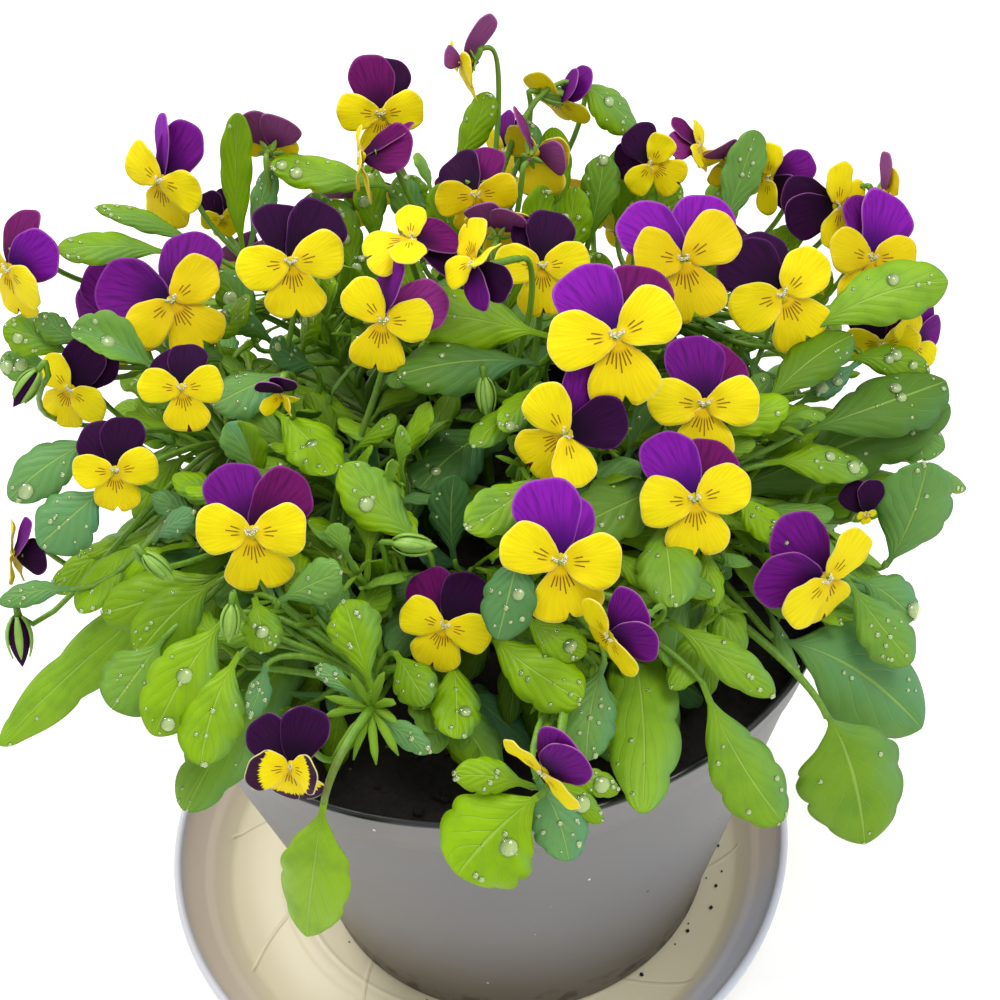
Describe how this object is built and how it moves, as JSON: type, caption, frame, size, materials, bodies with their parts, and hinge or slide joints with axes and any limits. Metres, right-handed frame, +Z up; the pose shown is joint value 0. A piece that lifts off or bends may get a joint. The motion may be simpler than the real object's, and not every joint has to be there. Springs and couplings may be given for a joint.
{
  "type": "potted horned violet",
  "caption": "Bushy horned violet with purple and yellow blooms in a grey tapered nursery pot that stands in a clear saucer.",
  "frame": {"origin": "centre of the saucer's underside", "axes": "+Z up; -Y is the front, the side from which the plant is meant to be seen; the pot stands 11 mm to +X of the saucer's centre"},
  "size_m": [0.2551, 0.2158, 0.2667],
  "materials": {
    "clear_plastic": "clear, slightly cream moulded plastic",
    "grey_plastic": "satin grey outside, black inside",
    "peat": "damp dark potting soil",
    "petal": "velvety petals, purple above and yellow below",
    "stem": "smooth green shoots",
    "leaf": "glossy green leaves"
  },
  "bodies": {
    "root": {"bloom_01": "petal", "bloom_02": "petal", "bloom_03": "petal", "bloom_04": "petal", "bloom_05": "petal", "bloom_06": "petal", "bloom_07": "petal", "bloom_08": "petal", "bloom_09": "petal", "bloom_10": "petal", "bloom_11": "petal", "bloom_12": "petal", "bloom_13": "petal", "bloom_14": "petal", "bloom_15": "petal", "bloom_16": "petal", "bloom_17": "petal", "bloom_18": "petal", "bloom_19": "petal", "bloom_20": "petal", "bloom_21": "petal", "bloom_22": "petal", "bloom_23": "petal", "bloom_24": "petal", "bloom_25": "petal", "bloom_26": "petal", "bloom_27": "petal", "bloom_28": "petal", "bloom_29": "petal", "bloom_30": "petal", "bloom_31": "petal", "bloom_32": "petal", "bloom_33": "petal", "bloom_34": "petal", "bloom_35": "petal", "bloom_36": "petal", "bloom_37": "petal", "leaf_back_left": "leaf", "leaf_back_right": "leaf", "leaf_front_left_hanging": "leaf", "leaf_front_right_hanging": "leaf", "leaf_front_round": "leaf", "leaf_left_front_low": "leaf", "leaf_left_hanging": "leaf", "leaf_right_dark": "leaf", "leaf_right_large": "leaf", "leaf_right_low": "leaf", "leaf_right_upright": "leaf", "pot": "grey_plastic", "potting_soil": "peat", "saucer": "clear_plastic", "stem_back": "stem", "stem_front": "stem", "stem_front_left_low": "stem", "stem_left": "stem", "stem_left_back": "stem", "stem_left_front": "stem", "stem_middle": "stem", "stem_right": "stem", "stem_right_back": "stem"}
  },
  "joints": []
}
